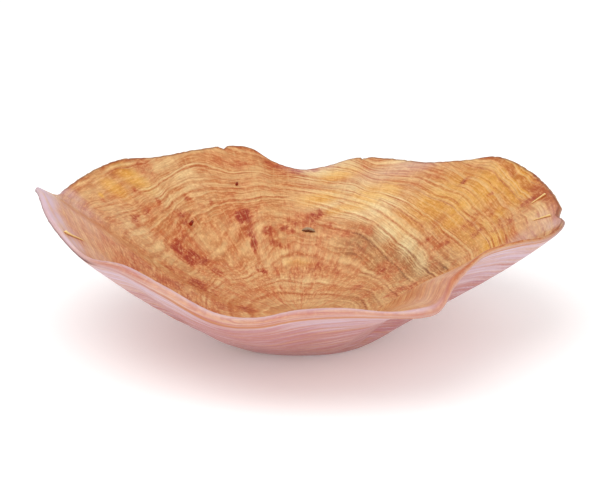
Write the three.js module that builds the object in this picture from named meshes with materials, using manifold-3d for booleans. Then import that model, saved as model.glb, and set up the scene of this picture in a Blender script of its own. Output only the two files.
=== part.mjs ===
// Free-form bowl carved from one piece of root wood, with its drying checks, bark pocket and
// pin knots filled. Millimetres, +Z up. The origin is the middle of the flat foot, at its height.
import * as THREE from 'three';
import { LoftGeometry } from 'three/addons/geometries/LoftGeometry.js';
import { mergeVertices } from 'three/addons/utils/BufferGeometryUtils.js';
import Module from 'manifold-3d';

// Rim: an oval, its length from tip to tip and its width from front to back. rimHeight, lipHold
// and edgeThickness are what the stations' rise, lip and edge are shares of.
const rimLength = 400;
const rimWidth = 315;
const rimHeight = 120;
const lipHold = 50;
const edgeThickness = 6;

// Stations of the rim, counter-clockwise as seen from above. at is the place round the oval, in
// degrees from +X, and swell moves the edge out from the oval or in from it. rise is the edge's
// height, flare the wall's angle there in degrees above the horizontal, lip how far that angle
// holds down the wall, and edge the thickness.
const rimStations = [
  { at: -1.9, swell: 0.992, rise: 0.749, flare: 32, lip: 0.87, edge: 0.74 },
  { at: 3.8, swell: 0.998, rise: 0.775, flare: 32, lip: 0.88, edge: 0.83 },
  { at: 8.2, swell: 0.993, rise: 0.817, flare: 34, lip: 0.88, edge: 0.83 },
  { at: 15.1, swell: 1.004, rise: 0.829, flare: 34, lip: 0.84, edge: 0.92 },
  { at: 27.2, swell: 1.029, rise: 0.864, flare: 40, lip: 0.96, edge: 1 },
  { at: 39.5, swell: 1.04, rise: 0.893, flare: 44, lip: 1, edge: 1 },
  { at: 49.8, swell: 1.032, rise: 0.819, flare: 44, lip: 1, edge: 1 },
  { at: 59.3, swell: 1.014, rise: 0.773, flare: 44, lip: 0.96, edge: 1 },
  { at: 68.1, swell: 1.006, rise: 0.774, flare: 42, lip: 0.92, edge: 1 },
  { at: 76.5, swell: 1.005, rise: 0.761, flare: 36, lip: 0.8, edge: 1 },
  { at: 83.7, swell: 0.993, rise: 0.694, flare: 28, lip: 0.68, edge: 1 },
  { at: 90, swell: 0.99, rise: 0.668, flare: 25, lip: 0.64, edge: 1 },
  { at: 96.3, swell: 1.006, rise: 0.723, flare: 31, lip: 0.76, edge: 1 },
  { at: 101.9, swell: 1.015, rise: 0.828, flare: 40, lip: 0.88, edge: 1 },
  { at: 107.6, swell: 1.013, rise: 0.852, flare: 44, lip: 0.96, edge: 1 },
  { at: 116.2, swell: 1.002, rise: 0.848, flare: 46, lip: 1, edge: 1 },
  { at: 126.3, swell: 0.997, rise: 0.838, flare: 46, lip: 1, edge: 1 },
  { at: 137.3, swell: 0.991, rise: 0.87, flare: 44, lip: 0.96, edge: 1 },
  { at: 149.4, swell: 0.985, rise: 0.839, flare: 40, lip: 0.88, edge: 0.92 },
  { at: 160, swell: 0.972, rise: 0.81, flare: 32, lip: 0.72, edge: 0.83 },
  { at: 167.4, swell: 0.963, rise: 0.816, flare: 28, lip: 0.68, edge: 0.83 },
  { at: 177.5, swell: 0.992, rise: 0.933, flare: 26, lip: 0.64, edge: 0.75 },
  { at: 188.9, swell: 0.974, rise: 0.994, flare: 32, lip: 0.72, edge: 0.83 },
  { at: 201.2, swell: 0.968, rise: 0.902, flare: 38, lip: 0.72, edge: 0.7 },
  { at: 214, swell: 0.931, rise: 0.751, flare: 47, lip: 0.82, edge: 0.67 },
  { at: 226.8, swell: 0.928, rise: 0.761, flare: 46, lip: 0.83, edge: 1.16 },
  { at: 239.3, swell: 0.952, rise: 0.701, flare: 50, lip: 1.05, edge: 1.27 },
  { at: 251.5, swell: 0.95, rise: 0.565, flare: 38, lip: 0.83, edge: 1.36 },
  { at: 260.5, swell: 0.98, rise: 0.566, flare: 36, lip: 0.78, edge: 1.32 },
  { at: 270, swell: 0.986, rise: 0.624, flare: 38, lip: 0.85, edge: 1.43 },
  { at: 278.9, swell: 1.005, rise: 0.64, flare: 36, lip: 0.88, edge: 1.26 },
  { at: 287.1, swell: 1.028, rise: 0.619, flare: 25, lip: 0.81, edge: 0.81 },
  { at: 293.6, swell: 1.035, rise: 0.605, flare: 6, lip: 0.94, edge: 1.14 },
  { at: 298.8, swell: 1.007, rise: 0.612, flare: 5, lip: 1.05, edge: 1.23 },
  { at: 302.2, swell: 1.003, rise: 0.742, flare: 9, lip: 0.95, edge: 1.18 },
  { at: 309.1, swell: 0.941, rise: 0.79, flare: 21, lip: 0.8, edge: 0.67 },
  { at: 319, swell: 0.88, rise: 0.804, flare: 40, lip: 0.91, edge: 0.67 },
  { at: 332.8, swell: 0.894, rise: 0.789, flare: 40, lip: 0.91, edge: 0.82 },
  { at: 346.1, swell: 0.94, rise: 0.74, flare: 44, lip: 0.92, edge: 0.71 },
];
const edgeRoundness = 0.36; // rounding of the rim's two corners, as a share of its thickness

// Foot: a flat facet with rounded corners, that the outer wall leaves at footFlare degrees
const footHalfLength = 52.5;
const footHalfWidth = 48.5;
const footSquareness = 2.5;
const footFlare = 20.5;
const footHold = 28.5;

// Inside floor, and how far beyond the foot's outline the inner wall still heads for it
const floorThickness = 13;
const floorFlatRadius = 16;
const floorSpread = 20;

// Chips broken out of the edge. deepest is how far round from its middle a chip is deepest, as a
// share of its width.
const rimChips = [
  { at: 108.5, width: 8, depth: 2.4, deepest: 0 },
  { at: 74.4, width: 6.5, depth: 1.9, deepest: 0.3 },
  { at: 2.2, width: 19, depth: 4.4, deepest: 0.15 },
];
const chipBulge = 0.6; // how full its sides are: at 0.5 they would be straight

// Fillings in the inner face. A path runs over it in pairs: the place round the oval in degrees,
// and the distance down from the edge in mm. A tapered filling narrows along its path, and any
// other narrows to both ends.
const fillClearance = 0.3;
const fillNarrow = 0.3; // width of a filling's thin end, as a share of its full width
const fillShallow = 0.4; // depth that a filling of no width would have, as a share of its full depth
const fillFloor = 0.45; // width of a filling's bottom, as a share of its top
const checkFills = [
  { name: 'fill_check_left', width: 1.8, depth: 2.2, tapered: true,
    path: [[204.8, 2.2], [204.5, 8], [203.4, 17], [202, 28.5]] },
  { name: 'fill_check_right_upper', width: 1.6, depth: 2, tapered: true,
    path: [[13.5, 3], [13.7, 7], [14, 12.5], [14.4, 18.5]] },
  { name: 'fill_check_right_lower', width: 1.6, depth: 2, tapered: true,
    path: [[3.6, 7], [4.5, 12.4], [5.3, 18], [6.1, 23.8]] },
  { name: 'fill_bark_pocket', width: 3.4, depth: 3.5, tapered: false,
    path: [[89.5, 63], [87.7, 63], [85.8, 64.5], [83.9, 67.3]] },
];
const pinKnots = [
  { name: 'fill_knot_left', at: 129.2, down: 66.7, diameter: 3.2, depth: 4 },
  { name: 'fill_knot_back', at: 108.1, down: 35.8, diameter: 2.4, depth: 3 },
];

// Facets
const rimStepsPerStation = 4;
const edgeSteps = 3;
const wallSteps = 9;
const fillSteps = 8;
const knotSides = 12;
const chipSteps = 4;
const cutOverrun = 2; // how far a cutting solid stands proud of the face that it opens
const halvings = 30; // in the search for a place on the rim
const nearby = 0.5; // in degrees and in mm, to take the slopes of the inner face

const degrees = Math.PI / 180;
const fullTurn = 360;
const rimCurve = new THREE.CatmullRomCurve3(rimStations.map(rimPoint), true, 'centripetal');
const lipCurve = new THREE.CatmullRomCurve3(rimStations.map(lipValues), true, 'centripetal');

function rimPoint({ at, swell, rise }) {
  return new THREE.Vector3(
    rimLength / 2 * swell * Math.cos(at * degrees),
    rimWidth / 2 * swell * Math.sin(at * degrees),
    rimHeight * rise);
}

function lipValues({ flare, lip, edge }) {
  return new THREE.Vector3(flare, lip * lipHold, edge * edgeThickness);
}

// Distance of the foot's outline from the axis: a superellipse
function footReach(angle) {
  const along = Math.abs(Math.cos(angle) / footHalfLength) ** footSquareness;
  const across = Math.abs(Math.sin(angle) / footHalfWidth) ** footSquareness;
  return (along + across) ** (-1 / footSquareness);
}

function directionAt(tilt) {
  return new THREE.Vector2(Math.cos(tilt * degrees), Math.sin(tilt * degrees));
}

// The wall in the upright plane through the axis, at parameter t of the rim. In that plane x is
// the distance from the axis and y is the height.
function wallAt(t) {
  const rim = rimCurve.getPoint(t);
  const { x: flare, y: lip, z: thickness } = lipCurve.getPoint(t);
  const out = directionAt(flare);
  const inward = new THREE.Vector2(-out.y, out.x);
  const rounding = thickness * edgeRoundness;
  const middle = new THREE.Vector2(Math.hypot(rim.x, rim.y), rim.z).addScaledVector(out, -rounding);
  const outerEnd = middle.clone().addScaledVector(inward, -thickness / 2);
  const innerEnd = middle.clone().addScaledVector(inward, thickness / 2);
  const angle = Math.atan2(rim.y, rim.x);
  const foot = new THREE.Vector2(footReach(angle), 0);
  const outer = new THREE.CubicBezierCurve(
    foot,
    foot.clone().addScaledVector(directionAt(footFlare), footHold),
    outerEnd.clone().addScaledVector(out, -lip),
    outerEnd);
  const inner = new THREE.CubicBezierCurve(
    innerEnd,
    innerEnd.clone().addScaledVector(out, -lip),
    new THREE.Vector2(foot.x + floorSpread, floorThickness),
    new THREE.Vector2(floorFlatRadius, floorThickness));
  return { angle, out, inward, middle, thickness, rounding, outer, inner };
}

// The softly rounded edge of the rim, from the outer wall to the inner one
function edgePoints({ out, inward, middle, thickness, rounding }) {
  const points = [];
  for (const side of [-1, 1]) {
    for (let step = 0; step <= edgeSteps; step++) {
      const turn = (side < 0 ? step : edgeSteps - step) / edgeSteps * Math.PI / 2;
      points.push(middle.clone()
        .addScaledVector(inward, side * (thickness / 2 - rounding * (1 - Math.cos(turn))))
        .addScaledVector(out, rounding * Math.sin(turn)));
    }
  }
  return points;
}

// The whole profile at parameter t: foot, outer wall, edge, inner wall and floor, to the axis
function profileAt(t) {
  const wall = wallAt(t);
  const outer = wall.outer.getPoints(wallSteps).slice(0, -1);
  const inner = wall.inner.getPoints(wallSteps).slice(1);
  const centre = new THREE.Vector2(0, floorThickness);
  return { angle: wall.angle, points: [...outer, ...edgePoints(wall), ...inner, centre] };
}

function upright({ x, y }, angle) {
  return new THREE.Vector3(x * Math.cos(angle), x * Math.sin(angle), y);
}

// The bowl before it is chipped and filled, lofted ring by ring along its profiles
function bowlBlank() {
  const count = rimStations.length * rimStepsPerStation;
  const profiles = Array.from({ length: count }, (unused, i) => profileAt(i / count));
  const rings = profiles[0].points.map((unused, row) =>
    profiles.map(({ angle, points }) => upright(points[row], angle)));
  return new LoftGeometry(rings, { capStart: true });
}

// Parameter of the rim at a place round the oval, found by halving
function rimParameter(at) {
  const fromStart = (value) => THREE.MathUtils.euclideanModulo(value - rimStations[0].at, fullTurn);
  let [low, high] = [0, 1];
  for (let i = 0; i < halvings; i++) {
    const half = (low + high) / 2;
    const { x, y } = rimCurve.getPoint(half);
    if (fromStart(Math.atan2(y / rimWidth, x / rimLength) / degrees) < fromStart(at)) low = half;
    else high = half;
  }
  return low;
}

// Point of the inner face, a distance in mm down from the edge
function innerPoint(at, down) {
  const { angle, inner } = wallAt(rimParameter(at));
  return upright(inner.getPointAt(down / inner.getLength()), angle);
}

// Point and outward normal of the inner face
function innerFrame(at, down) {
  const around = innerPoint(at + nearby, down).sub(innerPoint(at - nearby, down));
  const slope = innerPoint(at, down + nearby).sub(innerPoint(at, down - nearby));
  const normal = new THREE.Vector3().crossVectors(slope, around).normalize();
  return { point: innerPoint(at, down), normal };
}

// A filling along a path, or with grow and rise the solid that cuts its seat
function fillGeometry({ width, depth, tapered, path }, grow = 0, rise = 0) {
  const curve = new THREE.SplineCurve(path.map(([at, down]) => new THREE.Vector2(at, down)));
  const frames = curve.getPoints(fillSteps).map(({ x: at, y: down }) => innerFrame(at, down));
  const sections = frames.map(({ point, normal }, i) => {
    const before = frames[Math.max(i - 1, 0)].point;
    const after = frames[Math.min(i + 1, fillSteps)].point;
    const along = after.clone().sub(before).normalize();
    const side = new THREE.Vector3().crossVectors(normal, along).normalize();
    const fullness = tapered ? 1 - i / fillSteps : Math.sin(Math.PI * i / fillSteps);
    const share = THREE.MathUtils.lerp(fillNarrow, 1, fullness);
    const half = width / 2 * share + grow;
    const end = i === 0 ? -grow : i === fillSteps ? grow : 0;
    const place = (across, up) => point.clone()
      .addScaledVector(side, across).addScaledVector(normal, up).addScaledVector(along, end);
    const floorHalf = width / 2 * share * fillFloor + grow;
    const floor = -depth * THREE.MathUtils.lerp(fillShallow, 1, share) - grow;
    const proud = rise > 0 ? [place(half, rise), place(-half, rise)] : [];
    return [...proud, place(-half, 0), place(-floorHalf, floor), place(floorHalf, floor), place(half, 0)];
  });
  return new LoftGeometry(sections, { capStart: true, capEnd: true });
}

// A pin knot's filling, or with grow and rise the solid that cuts its seat
function knotGeometry({ at, down, diameter, depth }, grow = 0, rise = 0) {
  const { point, normal } = innerFrame(at, down);
  const radius = diameter / 2 + grow;
  const height = depth + grow + rise;
  const geometry = new THREE.CylinderGeometry(radius, radius, height, knotSides);
  geometry.translate(0, rise - height / 2, 0);
  geometry.applyQuaternion(new THREE.Quaternion().setFromUnitVectors(THREE.Object3D.DEFAULT_UP, normal));
  return geometry.translate(point.x, point.y, point.z);
}

// A chip's cutting solid: a lopsided scallop that runs through the edge
function chipGeometry({ at, width, depth, deepest }) {
  const t = rimParameter(at);
  const wall = wallAt(t);
  const low = deepest * width;
  const outline = new THREE.Shape();
  outline.moveTo(-width / 2, cutOverrun);
  outline.lineTo(-width / 2, 0);
  outline.quadraticCurveTo((low - width / 2) / 2, -depth * chipBulge, low, -depth);
  outline.quadraticCurveTo((low + width / 2) / 2, -depth * chipBulge, width / 2, 0);
  outline.lineTo(width / 2, cutOverrun);
  const length = 2 * wall.thickness;
  const geometry = new THREE.ExtrudeGeometry(outline,
    { depth: length, bevelEnabled: false, curveSegments: chipSteps });
  geometry.translate(0, 0, -length / 2);
  const out = upright(wall.out, wall.angle);
  const along = rimCurve.getTangent(t).projectOnPlane(out).normalize();
  const across = new THREE.Vector3().crossVectors(along, out);
  const placing = new THREE.Matrix4().makeBasis(along, out, across).setPosition(rimCurve.getPoint(t));
  return geometry.applyMatrix4(placing);
}

const wasm = await Module();
wasm.setup();

// A closed three.js geometry as a solid that can be cut. Triangles that shrink to a line, as they
// do where the floor closes on the axis, are left out.
function solid(geometry) {
  const bare = new THREE.BufferGeometry();
  bare.setAttribute('position', geometry.attributes.position);
  bare.setIndex(geometry.index ?? [...Array(geometry.attributes.position.count).keys()]);
  const merged = mergeVertices(bare);
  const triangles = [];
  for (let i = 0; i < merged.index.count; i += 3) {
    const corners = Array.from(merged.index.array.slice(i, i + 3));
    if (new Set(corners).size === 3) triangles.push(...corners);
  }
  return new wasm.Manifold(new wasm.Mesh({
    numProp: 3,
    vertProperties: new Float32Array(merged.attributes.position.array),
    triVerts: new Uint32Array(triangles),
  }));
}

function geometryOf(manifold) {
  const { numProp, vertProperties, triVerts } = manifold.getMesh();
  const geometry = new THREE.BufferGeometry();
  const data = new THREE.InterleavedBuffer(vertProperties, numProp);
  geometry.setAttribute('position', new THREE.InterleavedBufferAttribute(data, 3, 0));
  geometry.setIndex(Array.from(triVerts));
  const flat = geometry.toNonIndexed();
  flat.computeVertexNormals();
  return flat;
}

function bowlGeometry() {
  const cutters = [
    ...rimChips.map((chip) => chipGeometry(chip)),
    ...checkFills.map((fill) => fillGeometry(fill, fillClearance, cutOverrun)),
    ...pinKnots.map((knot) => knotGeometry(knot, fillClearance, cutOverrun)),
  ];
  return geometryOf(cutters.reduce((body, cutter) => body.subtract(solid(cutter)), solid(bowlBlank())));
}

function namedMesh(name, geometry, color, roughness) {
  const material = new THREE.MeshStandardMaterial({ color, roughness, metalness: 0 });
  const mesh = new THREE.Mesh(geometry, material);
  mesh.name = name;
  return mesh;
}

const part = new THREE.Group();
part.add(namedMesh('bowl', bowlGeometry(), 0xc98f5c, 0.42));
for (const fill of checkFills) {
  const color = fill.tapered ? 0xe9c67c : 0x8c7f70;
  part.add(namedMesh(fill.name, fillGeometry(fill), color, 0.5));
}
for (const knot of pinKnots) part.add(namedMesh(knot.name, knotGeometry(knot), 0x3a1a10, 0.6));

export default part;
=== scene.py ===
"""Free-form root-wood bowl: the carved bowl, its fillings and pin knots, and a small pale studio."""

import math
from collections import namedtuple
from functools import partial
from types import SimpleNamespace

import bmesh
import bpy
import numpy as np
from bpy.props import FloatProperty, FloatVectorProperty, PointerProperty
from mathutils import Color, Matrix, Vector, noise


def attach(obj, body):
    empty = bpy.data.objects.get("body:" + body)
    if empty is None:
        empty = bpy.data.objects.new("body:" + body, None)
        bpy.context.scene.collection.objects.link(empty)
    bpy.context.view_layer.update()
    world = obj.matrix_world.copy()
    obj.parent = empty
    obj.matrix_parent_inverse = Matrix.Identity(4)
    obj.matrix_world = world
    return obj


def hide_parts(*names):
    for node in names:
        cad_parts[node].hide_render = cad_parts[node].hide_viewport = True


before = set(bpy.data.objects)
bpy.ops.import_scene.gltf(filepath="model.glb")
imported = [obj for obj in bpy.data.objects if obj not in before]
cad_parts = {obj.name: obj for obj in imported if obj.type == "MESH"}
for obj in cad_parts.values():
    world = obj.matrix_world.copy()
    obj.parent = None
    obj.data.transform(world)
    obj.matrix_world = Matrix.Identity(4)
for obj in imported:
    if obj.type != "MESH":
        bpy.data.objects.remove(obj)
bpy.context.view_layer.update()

bl_info = {
    "name": "Root-wood bowl",
    "version": (1, 0, 0),
    "blender": (4, 5, 0),
    "location": "3D View > Sidebar > Root bowl",
    "description": "Builds a free-form lacquered root-wood bowl with its fillings, and a pale studio",
    "category": "Add Mesh",
}

MM = 0.001

# Stations of the rim, counter-clockwise as seen from above: the place round the oval in degrees from
# +X, how far the edge swells out of the oval, its height, the wall's angle there in degrees above
# the horizontal, how far down the wall that angle holds, and the edge's thickness. Swell, height,
# hold and thickness are shares of the sizes in RootBowlShape.
RIM_STATIONS = (
    (-1.9, 0.992, 0.749, 32, 0.87, 0.74), (3.8, 0.998, 0.775, 32, 0.88, 0.83),
    (8.2, 0.993, 0.817, 34, 0.88, 0.83), (15.1, 1.004, 0.829, 34, 0.84, 0.92),
    (27.2, 1.029, 0.864, 40, 0.96, 1), (39.5, 1.04, 0.893, 44, 1, 1), (49.8, 1.032, 0.819, 44, 1, 1),
    (59.3, 1.014, 0.773, 44, 0.96, 1), (68.1, 1.006, 0.774, 42, 0.92, 1),
    (76.5, 1.005, 0.761, 36, 0.8, 1), (83.7, 0.993, 0.694, 28, 0.68, 1), (90, 0.99, 0.668, 25, 0.64, 1),
    (96.3, 1.006, 0.723, 31, 0.76, 1), (101.9, 1.015, 0.828, 40, 0.88, 1),
    (107.6, 1.013, 0.852, 44, 0.96, 1), (116.2, 1.002, 0.848, 46, 1, 1),
    (126.3, 0.997, 0.838, 46, 1, 1), (137.3, 0.991, 0.87, 44, 0.96, 1),
    (149.4, 0.985, 0.839, 40, 0.88, 0.92), (160, 0.972, 0.81, 32, 0.72, 0.83),
    (167.4, 0.963, 0.816, 28, 0.68, 0.83), (177.5, 0.992, 0.933, 26, 0.64, 0.75),
    (188.9, 0.974, 0.994, 32, 0.72, 0.83), (201.2, 0.968, 0.902, 38, 0.72, 0.7),
    (214, 0.931, 0.751, 47, 0.82, 0.67), (226.8, 0.928, 0.761, 46, 0.83, 1.16),
    (239.3, 0.952, 0.701, 50, 1.05, 1.27), (251.5, 0.95, 0.565, 38, 0.83, 1.36),
    (260.5, 0.98, 0.566, 36, 0.78, 1.32), (270, 0.986, 0.624, 38, 0.85, 1.43),
    (278.9, 1.005, 0.64, 36, 0.88, 1.26), (287.1, 1.028, 0.619, 25, 0.81, 0.81),
    (293.6, 1.035, 0.605, 6, 0.94, 1.14), (298.8, 1.007, 0.612, 5, 1.05, 1.23),
    (302.2, 1.003, 0.742, 9, 0.95, 1.18), (309.1, 0.941, 0.79, 21, 0.8, 0.67),
    (319, 0.88, 0.804, 40, 0.91, 0.67), (332.8, 0.894, 0.789, 40, 0.91, 0.82),
    (346.1, 0.94, 0.74, 44, 0.92, 0.71),
)

# Chips out of the edge: place in degrees, width and depth in mm, and how far round from its middle
# a chip is deepest, as a share of its width
Chip = namedtuple("Chip", "at width depth deepest")
CHIPS = (Chip(108.5, 8, 2.4, 0), Chip(74.4, 6.5, 1.9, 0.3), Chip(2.2, 19, 4.4, 0.15))

# Fillings in the inner face. A path gives places on it: degrees round the oval, mm down from the edge.
Filling = namedtuple("Filling", "node width depth tapered path")
CHECK_FILLINGS = (
    Filling("fill_check_left", 1.8, 2.2, True, ((204.8, 2.2), (204.5, 8), (203.4, 17), (202, 28.5))),
    Filling("fill_check_right_upper", 1.6, 2, True, ((13.5, 3), (13.7, 7), (14, 12.5), (14.4, 18.5))),
    Filling("fill_check_right_lower", 1.6, 2, True, ((3.6, 7), (4.5, 12.4), (5.3, 18), (6.1, 23.8))),
)
BARK_POCKET = Filling("fill_bark_pocket", 3.4, 3.5, False,
                      ((89.5, 63), (87.7, 63), (85.8, 64.5), (83.9, 67.3)))
Knot = namedtuple("Knot", "node at down diameter depth")
PIN_KNOTS = (Knot("fill_knot_left", 129.2, 66.7, 3.2, 4), Knot("fill_knot_back", 108.1, 35.8, 2.4, 3))

# Growth lines drawn over the plan of the bowl: how far each is from the root's heart, in mm of growth, and
# the places that it passes, x and y in mm. The first rows are the lines that stand out inside the bowl,
# from the rim down, and the last close the rings round the front.
GROWTH_LINES = (
    (206, ((134, 114), (152, 95), (164, 68), (176, 30), (181, 16))),
    (191, ((120, 114), (136, 86), (146, 61), (155, 21))),
    (196, ((57, 143), (71, 140), (88, 137), (102, 133))),
    (186, ((57, 135), (75, 131), (91, 126), (102, 119), (114, 109), (126, 95))),
    (177, ((57, 130), (69, 127), (91, 121), (107, 103), (126, 74), (138, 45), (145, 23))),
    (162, ((-160, 43), (-149, 58), (-130, 77), (-115, 98), (-96, 122), (-78, 132), (-55, 130), (-26, 138),
           (-1, 145), (21, 137), (48, 132), (66, 125), (84, 112), (100, 93), (113, 65), (120, 50))),
    (156, ((-151, 29), (-137, 65), (-124, 81), (-110, 103), (-94, 119), (-76, 123), (-39, 130))),
    (149, ((-71, 118), (-51, 124), (-26, 131), (-7, 133), (17, 129), (40, 117), (60, 110), (72, 98),
           (83, 83), (93, 60), (101, 35))),
    (141, ((27, 114), (51, 107), (59, 101), (72, 88), (85, 67), (92, 46), (97, 33), (104, 8))),
    (137, ((-92, 47), (-89, 59), (-80, 86), (-64, 100), (-39, 112), (-12, 120), (-100, -10))),
    (130, ((56, 87), (68, 66), (75, 50), (82, 28), (91, 6))),
    (119, ((-37, 54), (-25, 66), (-10, 78), (12, 77), (29, 68), (48, 56))),
    (110, ((-49, 22), (-44, 34), (-25, 49), (-2, 54), (7, 51))),
    (105, ((-21, 41), (-2, 43), (30, 35), (45, 24), (0, -30))),
    (100, ((-19, 12), (-6, 24), (7, 29), (21, 32))),
    (94, ((5, 3),)),
    (118, ((-70, -14), (0, -64), (70, -30))),
    (136, ((-60, -80), (0, -100), (60, -74), (104, -34))),
    (166, ((-136, -50), (-98, -92), (-40, -126), (0, -134), (46, -132), (88, -92), (134, -50))),
    (190, ((-176, -20), (-150, -66), (-60, -146), (30, -152), (104, -118), (156, -50))),
    (180, ((0, 160), (-60, 150), (-110, 132), (-150, 96), (-180, 44))),
    (204, ((76, 148), (104, 142))),
)

# The field through them is a spline with distances in this unit, in mm, and this slack
SPLINE_UNIT = 100
SPLINE_SLACK = 0.002

# Growth on the outer wall, in mm: at the edge, how much it swings round the bowl, and how much it
# falls for each mm down the wall
OUTER_GROWTH = (172, 10, 0.9)

# Growth lines that stand out, by their distance from the heart in mm of growth. Noise moves them on
# by about the shift, and pale wood lies beside each at the offset.
STRONG_LINES = (206, 191, 186, 177, 162, 156, 149, 141, 130, 119, 110, 104)
STRONG_LINE_SHIFT = 2.7
HEART_BACK = 5  # mm from the middle of the foot back to the heart
RING_RADIUS = 90  # mm of a growth line for each radian round the heart
PALE_WOOD_OFFSET = 1.4

# Zones over the plan: x, y and half sizes in mm, and strength. The outer gold is on the outer wall, and the
# others are inside the bowl. Calm wood is peach, and its lines are faint.
RED_STAINS = (
    (-45, 103, 6, 6, 1), (-41, 94, 4, 7, 1), (-37, 85, 3, 8, 1), (-92, 90, 8, 5, 0.8),
    (-79, 104, 3, 2, 0.6), (-72, 108, 2, 2, 0.6), (-91, 106, 3, 2, 0.7), (-113, 90, 3, 2, 0.7),
    (-123, 75, 7, 5, 0.6), (-129, 60, 4, 8, 0.6), (-133, 48, 10, 12, 0.15), (-94, 56, 7, 11, 0.8),
    (-85, 52, 7, 10, 0.8), (-77, 52, 7, 6, 0.7), (-79, 14, 9, 14, 0.8), (-65, 47, 5, 5, 0.7),
    (-128, 87, 5, 3, 0.5), (-154, 62, 3, 2, 0.5), (-25, 95, 7, 4, 0.7), (-14, 101, 6, 3, 0.7),
    (-4, 105, 4, 3, 0.7), (-18, 86, 11, 3, 0.6), (-7, 99, 4, 2, 0.9), (15, 113, 9, 4, 0.6),
    (9, 109, 7, 3, 0.6), (22, 102, 4, 3, 0.6), (-60, 60, 4, 5, 0.6), (-68, 20, 6, 14, 0.5),
    (-30, 61, 6, 2, 0.9), (40, 93, 8, 3, 0.4), (55, 97, 5, 3, 0.2), (45, 40, 6, 4, 0.6),
    (26, 49, 3, 4, 0.5), (-41, 3, 8, 7, 0.9), (93, 83, 8, 5, 0.35), (110, 50, 6, 3, 0.6),
    (102, 63, 3, 3, 0.6), (132, 55, 6, 6, 0.5), (137, 42, 6, 7, 0.5), (149, 69, 4, 5, 0.35),
    (156, 81, 5, 5, 0.3), (168, 37, 10, 5, 0.3), (80, 11, 14, 9, 0.5), (69, 49, 11, 9, 0.4),
    (-106, -25, 11, 6, 0.6), (-125, 42, 25, 25, 0.1), (-100, 28, 25, 25, 0.18), (-80, 8, 25, 20, 0.45),
    (-92, 62, 16, 14, 0.25), (-60, 40, 22, 18, 0.15), (4, 107, 18, 8, 0.35), (-50, 95, 32, 26, 0.18),
    (-18, 52, 50, 36, 0.3), (18, 62, 20, 9, 0.5), (-62, -6, 18, 16, 0.45), (-160, 8, 22, 36, 0.15),
    (-150, 42, 24, 24, 0.1), (-132, 111, 14, 7, 0.5), (-110, 125, 14, 6, 0.15), (-85, 138, 16, 5, 0.15),
    (-50, 142, 14, 7, 0.25), (-8, 151, 26, 6, 0.55), (176, 40, 7, 5, 0.6), (160, 34, 18, 8, 0.35),
    (158, 14, 14, 10, 0.3), (140, 58, 12, 6, 0.3), (186, 60, 6, 20, 0.5), (0, 40, 50, 34, 0.14),
    (-112, -26, 26, 18, 0.52), (-84, -20, 22, 16, 0.48), (-90, 84, 6, 4, 0.7), (-92, -22, 14, 12, 0.5),
    (-60, -30, 24, 14, 0.25), (98, 60, 14, 8, 0.15), (131, 102, 3, 3, 0.8), (150, 74, 3, 3, 0.6),
)
GOLD_ZONES = (
    (-133, 96, 14, 6, 0.65), (-146, 79, 10, 5, 0.65), (-156, 66, 2, 2, 1), (31, 141, 13, 4, 0.6),
    (17, 125, 15, 5, 0.7), (56, 120, 13, 6, 0.7), (36, 113, 18, 3, 0.6), (72, 121, 10, 6, 0.6),
    (126, 80, 10, 6, 0.8), (102, 104, 12, 7, 0.6), (154, 49, 6, 9, 0.7), (147, 18, 9, 14, 0.8),
    (168, 54, 4, 8, 0.6), (-1, 73, 11, 4, 0.3), (122, 69, 13, 8, 0.6), (172, 66, 14, 22, 0.75),
    (148, 84, 26, 16, 0.7), (116, 96, 30, 18, 0.6), (140, 44, 20, 24, 0.5), (96, 100, 22, 14, 0.4),
)
OLIVE_ZONES = (
    (50, 84, 16, 12, 0.8), (68, 62, 14, 16, 0.7), (84, 42, 10, 20, 0.8), (100, 24, 16, 12, 0.7),
    (112, 15, 6, 4, 0.9), (-105, 28, 24, 14, 0.2), (40, 15, 40, 18, 0.4), (-11, 16, 16, 8, 0.5),
)
CREAM_ZONES = (
    (20, 147, 26, 7, 0.8), (40, 129, 24, 6, 0.7), (52, 110, 24, 8, 0.9), (71, 91, 10, 9, 1),
    (85, 68, 7, 16, 1), (94, 40, 5, 16, 0.9), (25, 118, 15, 4, 0.7), (85, 139, 26, 6, 0.6),
    (62, 114, 28, 10, 0.9), (-2, 52, 26, 6, 0.3), (-36, 62, 8, 12, 0.2), (-112, 96, 14, 6, 0.4),
    (96, 108, 14, 8, 0.5), (-95, 120, 24, 14, 0.4), (-130, 54, 16, 16, 0.35), (38, 110, 14, 8, 0.5),
    (104, 107, 12, 8, 0.4),
)
OUTER_GOLD_ZONES = ((-120, -60, 12, 5, 0.85), (-97, -58, 3, 2, 0.9), (158, -12, 14, 4, 0.6))
# Painted sheen inside the bowl: highlights on the left-hand tip, along the back rim, at the right-hand tip
# and on the front lobe's lip, painted as a milky colour
PAINTED_SHEEN_ZONES = (
    (-191, -14, 9, 18, 1), (-185, -34, 8, 14, 1), (-178, -49, 8, 10, 0.9), (-169, -57, 8, 10, 0.6),
    (-180, 45, 12, 7, 0.4), (-172, 30, 16, 12, 0.3), (12, 153, 22, 4, 0.3), (100, 135, 40, 5, 0.25),
    (185, 6, 14, 12, 0.25), (193, -3, 7, 9, 0.55), (-166, -69, 5, 5, 0.9), (-161, -66, 6, 8, 0.8),
    (-155, -72, 5, 5, 0.4), (98, -128, 24, 14, 0.2), (-145, -57, 16, 8, 0.25), (-166, -20, 20, 30, 0.2),
    (168, 2, 14, 8, 0.3),
)
CALM_ZONES = ((-150, -12, 26, 56, 1), (104, -104, 36, 34, 1), (84, -78, 20, 16, 0.6))
ZONE_FADES = (0.3, 1.8)  # shares of a zone's half sizes between which it fades out

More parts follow.
